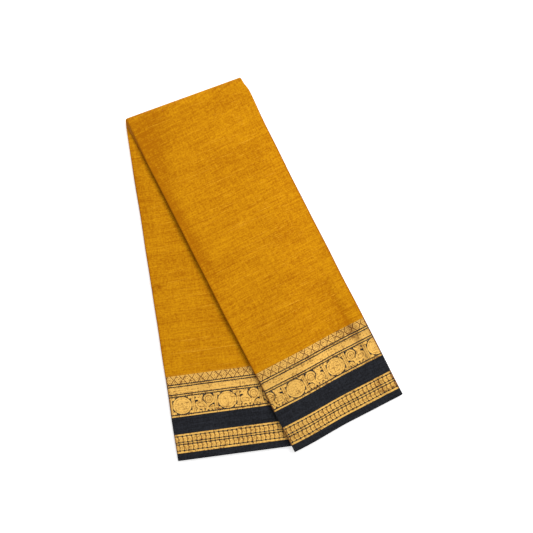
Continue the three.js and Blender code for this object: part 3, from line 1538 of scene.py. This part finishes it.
@dataclass(frozen=True)
class ClothFinish:
    """The look of woven cloth on a stretch that shows the field, the border or both."""

    name: str
    weave: Weave
    dye: Dye = Dye()
    cloth_width: float = 1155.0
    lower_hem_scale: float = 1.022
    upper_hem_lag: float = 5.8
    field_roughness: float = 0.78
    gold_roughness: float = 0.42
    gold_metal: float = 0.32
    bump: float = 0.35
    bump_depth: float = 0.08 * MM
    sheen: float = 0.05
    sheen_roughness: float = 0.5
    specular: float = 0.05
    gloss_tint: Colour = (1.0, 0.6, 0.1)
    streak_tone: float = 0.78
    broad_tone: float = 0.5
    shadow_from: float = -0.55
    gold_middle: float = 0.78
    gold_twill: float = 0.14
    gold_streaks: float = 1.4
    gold_broad: float = 0.7
    painted_swell_highlight: float = 0.22
    line_depth: float = 0.78
    antique_depth: float = 0.08
    gold_shadow: float = 1.6
    ground_middle: float = 0.4
    ground_plain: float = 0.25
    streak_height: float = 2.0
    gold_height: float = 2.2
    line_height: float = -0.6
    flat_gold: float = 0.4
    ground_height: float = 0.5

    def place(self, tree: bpy.types.NodeTree) -> tuple[Spot, Spot]:
        """Reads the place on the cloth.

        Args:
            tree: the tree to read it in.

        Returns:
            The place told from the lower hem, and the place told from the nearest hem.
        """
        uv = tree.nodes.new("ShaderNodeUVMap")
        uv.uv_map = CLOTH_MAP
        parts = tree.nodes.new("ShaderNodeSeparateXYZ")
        tree.links.new(uv.outputs[0], parts.inputs[0])
        along, across = (Wire(tree, parts.outputs[axis]) * MM_PER_METRE for axis in (0, 1))
        upper = across.maths("MULTIPLY_ADD", -1.0, self.cloth_width)
        lag = across.maths("GREATER_THAN", self.cloth_width / 2) * -self.upper_hem_lag
        nearest = (across * self.lower_hem_scale).least(upper)
        return Spot(along, across), Spot(along + lag, nearest)

    def brocade(
        self, tree: bpy.types.NodeTree, yarn: dict[str, Wire], rows: dict[str, Wire], shade: Wire
    ) -> tuple[Wire, Wire]:
        """Works out the border's look.

        Args:
            tree: the tree to work in.
            yarn: the weave's results.
            rows: the border's results.
            shade: the painted shade and light there.

        Returns:
            The border's colour and its height.
        """
        dye = self.dye
        streaks = yarn["Streaks"] * self.gold_streaks + self.gold_middle
        tone = yarn["Twill"].maths("MULTIPLY_ADD", self.gold_twill, streaks)
        # Painted highlight: the gold is lighter in the middle of each shape, where its floats swell.
        tone = tone + yarn["Broad"] * self.gold_broad + rows["Swell"] * self.painted_swell_highlight
        gold = mixed(tree, tone, dye.gold_deep, dye.gold)
        darker = (rows["Lines"] * self.line_depth).most(rows["Antique"] * self.antique_depth)
        # The painted shade deepens the gold towards gold_deep.
        darker = (darker - shade * self.gold_shadow).maths("MAXIMUM", 0.0, clamp=True)
        gold = mixed(tree, darker, gold, dye.gold_deep)
        tone = yarn["Streaks"] + self.ground_middle
        tone = yarn["Plain"].maths("MULTIPLY_ADD", self.ground_plain, tone, clamp=True)
        ground = mixed(tree, tone, dye.ground, dye.ground_light)
        ground = mixed(tree, rows["Selvedge"], ground, dye.selvedge)
        relief = rows["Lines"] * self.line_height + rows["Swell"] + self.flat_gold
        weave = yarn["Twill"] * rows["Gold"] + yarn["Plain"] * self.ground_height
        raised = (rows["Gold"] * relief).maths("MULTIPLY_ADD", self.gold_height, weave)
        return mixed(tree, rows["Gold"], ground, gold), raised

    def build(self, threads: Mask, layout: Mask, left_edge: float) -> bpy.types.Material:
        """Builds the material.

        Args:
            threads: the weave's group.
            layout: the border's group.
            left_edge: the length of cloth before the outermost left turn, in metres.

        Returns:
            The material.
        """
        material = bpy.data.materials.new(self.name)
        material.use_nodes = True
        tree = material.node_tree
        shader = tree.nodes["Principled BSDF"]
        plain_spot, hem_spot = self.place(tree)
        yarn = threads.placed(tree, Along=plain_spot.along, Away=plain_spot.away)
        read = tree.nodes.new("ShaderNodeAttribute")
        read.attribute_name = SHADE
        shade = Wire(tree, read.outputs["Fac"])
        # The shade attribute paints shade and light into the field colour; the deepest painted shade
        # goes towards field_shadow.
        broad = yarn["Broad"].maths("MULTIPLY_ADD", self.broad_tone, shade + 0.5)
        tone = yarn["Streaks"].maths("MULTIPLY_ADD", self.streak_tone, broad)
        colour = mixed(tree, tone, self.dye.field_deep, self.dye.field_light)
        shadow = shade.maths("MULTIPLY_ADD", -1.0, self.shadow_from, clamp=True)
        colour = mixed(tree, shadow, colour, self.dye.field_shadow)
        height = yarn["Plain"] + yarn["Streaks"] * self.streak_height
        shader.inputs["Roughness"].default_value = self.field_roughness
        if self.weave is not Weave.FIELD:
            around = hem_spot.along - left_edge * MM_PER_METRE
            rows = layout.placed(tree, Along=around, Away=hem_spot.away)
            border, raised = self.brocade(tree, yarn, rows, shade)
            colour = mixed(tree, rows["Border"], colour, border)
            if self.weave is Weave.BORDER:
                height = raised
            metal = rows["Gold"] * self.gold_metal * rows["Border"]
            smoother = self.gold_roughness - self.field_roughness
            rough = rows["Gold"].maths("MULTIPLY_ADD", smoother, self.field_roughness)
            tree.links.new(metal.socket, shader.inputs["Metallic"])
            tree.links.new(rough.socket, shader.inputs["Roughness"])
        bump = tree.nodes.new("ShaderNodeBump")
        bump.inputs["Strength"].default_value = self.bump
        bump.inputs["Distance"].default_value = self.bump_depth
        tree.links.new(height.socket, bump.inputs["Height"])
        tree.links.new(bump.outputs[0], shader.inputs["Normal"])
        tree.links.new(colour.socket, shader.inputs["Base Color"])
        shader.inputs["Specular IOR Level"].default_value = self.specular
        shader.inputs["Specular Tint"].default_value = (*self.gloss_tint, 1.0)
        shader.inputs["Sheen Weight"].default_value = self.sheen
        shader.inputs["Sheen Roughness"].default_value = self.sheen_roughness
        shader.inputs["Sheen Tint"].default_value = (*self.gloss_tint, 1.0)
        return material


def plain_material(name: str, colour: Colour, roughness: float = 0.8) -> bpy.types.Material:
    """Makes a plain material of one colour.

    Args:
        name: its name.
        colour: its colour.
        roughness: its roughness.

    Returns:
        The material.
    """
    material = bpy.data.materials.new(name)
    material.use_nodes = True
    shader = material.node_tree.nodes["Principled BSDF"]
    shader.inputs["Base Color"].default_value = (*colour, 1)
    shader.inputs["Roughness"].default_value = roughness
    return material


@dataclass(frozen=True)
class YarnFinish:
    """The look of loose yarns that lie on the cloth, lighter and darker from place to place."""

    name: str
    deep: Colour
    light: Colour
    roughness: float = 0.75
    specular: float = 0.1
    change_over: float = 9.0
    contrast: float = 3.0
    seed: float = 4.4

    def build(self) -> bpy.types.Material:
        """Builds the material.

        Returns:
            The material.
        """
        material = plain_material(self.name, self.deep, self.roughness)
        tree = material.node_tree
        shader = tree.nodes["Principled BSDF"]
        shader.inputs["Specular IOR Level"].default_value = self.specular
        place = tree.nodes.new("ShaderNodeTexCoord")
        parts = tree.nodes.new("ShaderNodeSeparateXYZ")
        tree.links.new(place.outputs["Object"], parts.inputs[0])
        along, away = (Wire(tree, parts.outputs[axis]) * MM_PER_METRE for axis in (0, 1))
        patches = Streaks(self.change_over, self.change_over, self.seed).at(Spot(along, away))
        share = patches.maths("MULTIPLY_ADD", self.contrast, 0.5, clamp=True)
        colour = mixed(tree, share, self.deep, self.light)
        tree.links.new(colour.socket, shader.inputs["Base Color"])
        return material


class Yarn:
    """A Geometry Nodes tree that turns lines into yarns with round sections."""

    def __init__(self) -> None:
        """Builds the tree: lines to curves, curves to tubes, tubes to one plain mesh."""
        self.tree = bpy.data.node_groups.new("yarn", "GeometryNodeTree")
        self.sockets = {}
        new = self.tree.interface.new_socket
        new(name="Lines", in_out="INPUT", socket_type="NodeSocketGeometry")
        for label, kind in (
            ("Radius", "NodeSocketFloat"), ("Sides", "NodeSocketInt"), ("Finish", "NodeSocketMaterial")
        ):
            self.sockets[label] = new(name=label, in_out="INPUT", socket_type=kind).identifier
        new(name="Yarns", in_out="OUTPUT", socket_type="NodeSocketGeometry")
        entry = self.add("NodeGroupInput")
        curve = self.add("GeometryNodeMeshToCurve")
        swell = self.add("GeometryNodeInputNamedAttribute")
        swell.data_type = "FLOAT"
        swell.inputs["Name"].default_value = "swell"
        thick = self.add("GeometryNodeSetCurveRadius")
        ring = self.add("GeometryNodeCurvePrimitiveCircle")
        tube = self.add("GeometryNodeCurveToMesh")
        tube.inputs["Fill Caps"].default_value = True
        smooth = self.add("GeometryNodeSetShadeSmooth")
        real = self.add("GeometryNodeRealizeInstances")
        finish = self.add("GeometryNodeSetMaterial")
        leave = self.add("NodeGroupOutput")
        link = self.tree.links.new
        link(entry.outputs["Lines"], curve.inputs[0])
        link(curve.outputs[0], thick.inputs["Curve"])
        link(swell.outputs["Attribute"], thick.inputs["Radius"])
        link(entry.outputs["Sides"], ring.inputs["Resolution"])
        link(entry.outputs["Radius"], ring.inputs["Radius"])
        link(thick.outputs[0], tube.inputs["Curve"])
        link(ring.outputs[0], tube.inputs["Profile Curve"])
        link(swell.outputs["Attribute"], tube.inputs["Scale"])
        link(tube.outputs[0], smooth.inputs[0])
        link(smooth.outputs[0], real.inputs[0])
        link(real.outputs[0], finish.inputs["Geometry"])
        link(entry.outputs["Finish"], finish.inputs["Material"])
        link(finish.outputs[0], leave.inputs[0])

    def add(self, kind: str) -> bpy.types.Node:
        """Adds a node of a kind and returns it."""
        return self.tree.nodes.new(kind)

    def spin(
        self, name: str, lines: list[np.ndarray], swells: list[np.ndarray],
        radius: float, sides: int, finish: bpy.types.Material,
    ) -> bpy.types.Object:
        """Makes a piece of yarns.

        Args:
            name: the piece's name.
            lines: the points that each yarn follows.
            swells: how thick each yarn is at each point, as a share of its radius.
            radius: the yarns' radius.
            sides: how many sides a yarn has.
            finish: the yarns' material.

        Returns:
            The piece, as a plain mesh.
        """
        starts = np.cumsum([0] + [len(line) for line in lines])
        edges = [(int(i), int(i) + 1) for a, b in zip(starts, starts[1:]) for i in range(a, b - 1)]
        mesh = bpy.data.meshes.new(f"{name}_lines")
        mesh.from_pydata(np.vstack(lines).tolist(), edges, [])
        swell = mesh.attributes.new("swell", "FLOAT", "POINT")
        swell.data.foreach_set("value", np.concatenate(swells).astype(np.float32))
        piece = bpy.data.objects.new(name, mesh)
        bpy.context.scene.collection.objects.link(piece)
        modifier = piece.modifiers.new("yarn", "NODES")
        modifier.node_group = self.tree
        for label, value in (("Radius", radius), ("Sides", sides), ("Finish", finish)):
            modifier[self.sockets[label]] = value
        view = bpy.context.evaluated_depsgraph_get()
        whole = bpy.data.meshes.new_from_object(piece.evaluated_get(view))
        whole.name = name
        piece.modifiers.clear()
        piece.data = whole
        return piece


@dataclass(frozen=True)
class HemCords:
    """The thin corded edge along a hem of every layer."""

    laying: Laying
    radius: float = 0.2 * MM
    sides: int = 5

    def build(
        self, name: str, station: float, paths: list[tuple[Section, bool]], yarn: Yarn,
        finish: bpy.types.Material,
    ) -> bpy.types.Object:
        """Builds the cord of one hem.

        Args:
            name: the piece's name.
            station: where the hem lies.
            paths: stretches of cloth in section, each with whether it is hidden.
            yarn: what makes the cord.
            finish: the cord's material.

        Returns:
            The piece.
        """
        lines = [self.laying.place(station, path, hidden, 0.0) for path, hidden in paths]
        swells = [np.ones(len(line)) for line in lines]
        return yarn.spin(name, lines, swells, self.radius, self.sides, finish)


@dataclass(frozen=True)
class Slubs:
    """Thicker stretches of weft yarn that stand a little proud of the cloth."""

    laying: Laying
    seed: int
    count: int
    level: float
    leftward: bool
    radius: float = 0.24 * MM
    long_swell: float = 2.3
    points: int = 11
    sides: int = 5
    sunk: float = 0.08 * MM
    lengths: Point = (0.006, 0.032)
    left_margin: float = 0.008
    right_margin: float = 0.012
    swells: Point = (0.4, 1.3)
    end_angle: float = 0.06
    bluntness: float = 0.7

    def line(self, station: float, x: float, length: float) -> np.ndarray:
        """Finds the points of one slub.

        Args:
            station: where along the pad it lies.
            x: where it starts, across the pad.
            length: how long it is.

        Returns:
            Its points, one row each.
        """
        places = x + np.linspace(0, length, self.points)
        if self.leftward:
            places = places[::-1]
        still = np.zeros(self.points)
        height = still + self.level * self.laying.pad.pitch
        section = Section(places, height, places, still, still + self.laying.pad.halvings - 1)
        return self.laying.place(station, section, False, 0.5 * self.laying.pad.cloth - self.sunk)

    def build(
        self, name: str, low: float, high: float, longer: list[tuple[float, float, float]],
        yarn: Yarn, finish: bpy.types.Material,
    ) -> bpy.types.Object:
        """Scatters the slubs over a stretch of cloth.

        Args:
            name: the piece's name.
            low: the first station that they may lie at.
            high: the last station that they may lie at.
            longer: slubs listed one by one, each with its station, place across and length.
            yarn: what makes them.
            finish: their material.

        Returns:
            The piece.
        """
        draw = np.random.default_rng(self.seed)
        lines, swells = [], []
        angles = np.linspace(self.end_angle, math.pi - self.end_angle, self.points)
        taper = np.sin(angles) ** self.bluntness
        widest = self.laying.pad.width - self.right_margin
        for station, x, length in longer:
            lines.append(self.line(station, x, length))
            swells.append(taper * self.long_swell)
        for _ in range(self.count):
            length = float(draw.uniform(*self.lengths))
            x = float(draw.uniform(self.left_margin, widest - length))
            lines.append(self.line(float(draw.uniform(low, high)), x, length))
            swells.append(taper * float(draw.uniform(*self.swells)))
        return yarn.spin(name, lines, swells, self.radius, self.sides, finish)


@dataclass
class FoldedSaree:
    """The whole saree, one piece for each stretch that shows and one for its hidden layers."""

    pad: Pad = field(default_factory=Pad)
    relief: Relief = field(default_factory=Relief)
    dye: Dye = field(default_factory=Dye)
    zones: dict[Zone, tuple[int, tuple[int, ...]]] = field(default_factory=lambda: {
        Zone.BACK_BORDER: (54, (0,)),
        Zone.BACK_FIELD: (150, (0,)),
        Zone.TOP_FOLD: (20, (0, 1)),
        Zone.FRONT_FIELD: (150, (1,)),
        Zone.FRONT_BORDER: (54, (1,)),
    })
    inner_rows: dict[Zone, int] = field(
        default_factory=lambda: dict(zip(Zone, (8, 14, 10, 18, 8)))
    )
    slub_counts: dict[Zone, int] = field(
        default_factory=lambda: {Zone.FRONT_FIELD: 420, Zone.BACK_FIELD: 300}
    )
    slub_span: Point = (0.01, 0.99)
    long_slubs: dict[Zone, list[tuple[float, float, float]]] = field(default_factory=lambda: {
        Zone.BACK_FIELD: [(1.079, 0.009, 0.13), (1.55, 0.05, 0.05)],
        Zone.FRONT_FIELD: [(3.47, 0.05, 0.05), (3.21, 0.09, 0.06), (3.36, 0.12, 0.05)],
    })

    def __post_init__(self) -> None:
        """Prepares the folding and the laying of the cloth."""
        self.folding = Folding(self.pad)
        self.weft = Weft(Laying(self.pad, self.relief))

    def stations(self, zone: Zone, count: int) -> np.ndarray:
        """Returns evenly spread stations through a zone."""
        return zone.value + np.linspace(0, 1, count + 1)

    def finishes(self) -> tuple[dict[Zone, bpy.types.Material], bpy.types.Material]:
        """Builds the cloth's materials.

        Returns:
            The material of each zone's outer cloth, and that of the hidden layers.
        """
        threads = Threads().build()
        layout = BorderLayout().build(BirdMotif().build())
        front = ClothFinish(
            "front_border_finish", Weave.BORDER, bump=0.7, sheen=0.02, specular=0.14,
            gloss_tint=(1.0, 0.9, 0.78),
        )
        # The back border is a brighter copy of the front's finish, with less metal and bump: painted
        # gloss for the zari's stronger sheen on the back leg, which comes from the yarns' direction.
        back = replace(front, name="back_border_finish", gold_metal=0.04, bump=0.35)
        inner = ClothFinish("inner_finish", Weave.BOTH)
        plain = ClothFinish("field_finish", Weave.FIELD)
        left_edge = self.folding.left_edge()
        back_cloth, front_cloth, inner_cloth, field_cloth = (
            look.build(threads, layout, left_edge) for look in (back, front, inner, plain)
        )
        borders = {Zone.BACK_BORDER: back_cloth, Zone.FRONT_BORDER: front_cloth}
        return dict.fromkeys(Zone, field_cloth) | borders, inner_cloth

    def outer_cloth(
        self, zone: Zone, finish: bpy.types.Material
    ) -> tuple[bpy.types.Object, Section]:
        """Builds the outer cloth of one zone.

        Args:
            zone: the zone.
            finish: its material.

        Returns:
            The piece, and its cloth in section.
        """
        count, fine = self.zones[zone]
        path, outer_end = self.folding.path(fine)
        outer = path.part(0, outer_end + 1)
        name = f"{zone.name.lower()}_cloth"
        piece = self.weft.body(name, outer, self.stations(zone, count), False)
        piece.data.materials.append(finish)
        return piece, outer

    def inner_cloth(self, finish: bpy.types.Material) -> tuple[bpy.types.Object, Section]:
        """Builds all the hidden layers, from hem to hem.

        Args:
            finish: their material.

        Returns:
            The piece, and its cloth in section.
        """
        path, outer_end = self.folding.path(())
        hidden = path.part(outer_end, len(path.x))
        stops = [self.stations(zone, count)[:-1] for zone, count in self.inner_rows.items()]
        stations = np.append(np.concatenate(stops), float(len(Zone)))
        piece = self.weft.body("inner_layers_cloth", hidden, stations, True)
        piece.data.materials.append(finish)
        return piece, hidden

    def hem_cords(
        self, sections: dict[Zone, Section], hidden: Section, yarn: Yarn
    ) -> dict[Zone, bpy.types.Object]:
        """Builds the cords along both hems.

        Args:
            sections: the outer cloth in section.
            hidden: the hidden layers' cloth in section.
            yarn: what makes the cords.

        Returns:
            The cord on each border.
        """
        finish = YarnFinish("hem_cord_finish", self.dye.cord_deep, self.dye.cord_light).build()
        cords = {}
        for zone, station in ((Zone.BACK_BORDER, 0.0), (Zone.FRONT_BORDER, float(len(Zone)))):
            name = zone.name.lower().replace("border", "hem_cord")
            paths = [(sections[zone], False), (hidden, True)]
            cords[zone] = HemCords(self.weft.laying).build(name, station, paths, yarn, finish)
        return cords

    def slubs(self, yarn: Yarn) -> dict[Zone, bpy.types.Object]:
        """Builds the slubs on both stretches of field that show.

        Args:
            yarn: what makes the slubs.

        Returns:
            The slubs on each stretch.
        """
        finish = YarnFinish("slub_finish", self.dye.slub_deep, self.dye.slub_light).build()
        levels = {
            Zone.FRONT_FIELD: (41, self.pad.layers - 0.5, False), Zone.BACK_FIELD: (43, 0.5, True)
        }
        made = {}
        for zone, (seed, level, leftward) in levels.items():
            name = zone.name.lower().replace("field", "slubs")
            low, high = (zone.value + end for end in self.slub_span)
            scatter = Slubs(self.weft.laying, seed, self.slub_counts[zone], level, leftward)
            made[zone] = scatter.build(name, low, high, self.long_slubs[zone], yarn, finish)
        return made

    def build(self) -> list[bpy.types.Object]:
        """Builds every stretch of cloth, its hem cords and its slubs.

        Returns:
            The pieces.
        """
        finishes, inner_finish = self.finishes()
        yarn = Yarn()
        outer, sections = {}, {}
        for zone in Zone:
            outer[zone], sections[zone] = self.outer_cloth(zone, finishes[zone])
            self.dress(outer[zone], zone.name.lower())
        inner, hidden = self.inner_cloth(inner_finish)
        self.dress(inner, "inner_layers")
        cords = self.hem_cords(sections, hidden, yarn)
        for cord in cords.values():
            self.dress(cord, None)
        slubs = self.slubs(yarn)
        for scatter in slubs.values():
            self.dress(scatter, None)
        trims = cords | slubs
        self.declare(outer, sections, hidden, trims)
        return [*outer.values(), inner, *trims.values()]

    def declare(
        self, outer: dict[Zone, bpy.types.Object], sections: dict[Zone, Section],
        hidden: Section, trims: dict[Zone, bpy.types.Object],
    ) -> None:
        """Works out each stretch's length of cloth and the cords and slubs on it, and does nothing
        more with them.

        Args:
            outer: the outer cloth's pieces.
            sections: their cloth in section.
            hidden: the hidden layers' cloth in section.
            trims: the cords and slubs that lie on each piece.
        """
        for zone, piece in outer.items():
            length = sections[zone].u[-1] - sections[zone].u[0]
            carried = [trims[zone]] if zone in trims else []
        hidden.u[-1] - hidden.u[0]

    def dress(self, piece: bpy.types.Object, node: str | None) -> None:
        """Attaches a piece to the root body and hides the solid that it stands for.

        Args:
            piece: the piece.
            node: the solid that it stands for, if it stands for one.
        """
        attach(piece, "root")
        if node:
            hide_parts(node)
        LOG.info("%s: %d faces", piece.name, len(piece.data.polygons))


@dataclass(frozen=True)
class Studio:
    """The plain floor, soft light and camera."""

    camera_at: tuple[float, float, float] = (0.0034, 0.0044, 1.2)
    lens: float = 50.0
    sensor: float = 36.0
    ambient: float = 0.47
    floor_reach: float = 6.0
    floor_colour: Colour = (0.93, 0.93, 0.93)
    floor_glow: float = 0.5
    lamps: tuple[tuple[str, tuple[float, float, float], float, float], ...] = (
        ("key_light", (0.46, 0.66, 1.55), 23.5, 0.9),
    )

    def lay_floor(self) -> None:
        """Lays the plain, pale floor that the saree lies on."""
        floor_mesh = bpy.data.meshes.new("floor")
        reach = self.floor_reach
        corners = [(-reach, -reach, 0), (reach, -reach, 0), (reach, reach, 0), (-reach, reach, 0)]
        floor_mesh.from_pydata(corners, [], [(0, 1, 2, 3)])
        floor = bpy.data.objects.new("floor", floor_mesh)
        finish = plain_material("floor_finish", self.floor_colour)
        shader = finish.node_tree.nodes["Principled BSDF"]
        shader.inputs["Emission Color"].default_value = (1, 1, 1, 1)
        shader.inputs["Emission Strength"].default_value = self.floor_glow
        floor.data.materials.append(finish)
        bpy.context.scene.collection.objects.link(floor)

    def set_camera(self) -> None:
        """Sets up the camera above the saree, looking straight down."""
        camera = bpy.data.objects.new("camera", bpy.data.cameras.new("camera"))
        camera.data.lens = self.lens
        camera.data.sensor_width = self.sensor
        camera.location = self.camera_at
        bpy.context.scene.collection.objects.link(camera)
        bpy.context.scene.camera = camera

    def light(self) -> None:
        """Adds the soft light from all round and the lamps, each of which faces the middle."""
        world = bpy.data.worlds.new("studio")
        world.use_nodes = True
        backdrop = world.node_tree.nodes["Background"]
        backdrop.inputs["Color"].default_value = (1, 1, 1, 1)
        backdrop.inputs["Strength"].default_value = self.ambient
        bpy.context.scene.world = world
        for name, place, energy, size in self.lamps:
            lamp = bpy.data.objects.new(name, bpy.data.lights.new(name, "AREA"))
            lamp.data.energy = energy
            lamp.data.size = size
            lamp.location = place
            lamp.rotation_euler = Vector(place).to_track_quat("Z", "Y").to_euler()
            bpy.context.scene.collection.objects.link(lamp)

    def build(self) -> None:
        """Builds the floor, the camera and the lights."""
        bpy.context.scene.view_settings.view_transform = "Standard"
        self.lay_floor()
        self.set_camera()
        self.light()


def main() -> None:
    """Builds the saree and the studio round it, and reports each piece."""
    logging.basicConfig(level=logging.INFO, format="%(name)s: %(message)s")
    Studio().build()
    pieces = FoldedSaree().build()
    LOG.info("%d pieces", len(pieces))


if __name__ == "__main__":
    main()
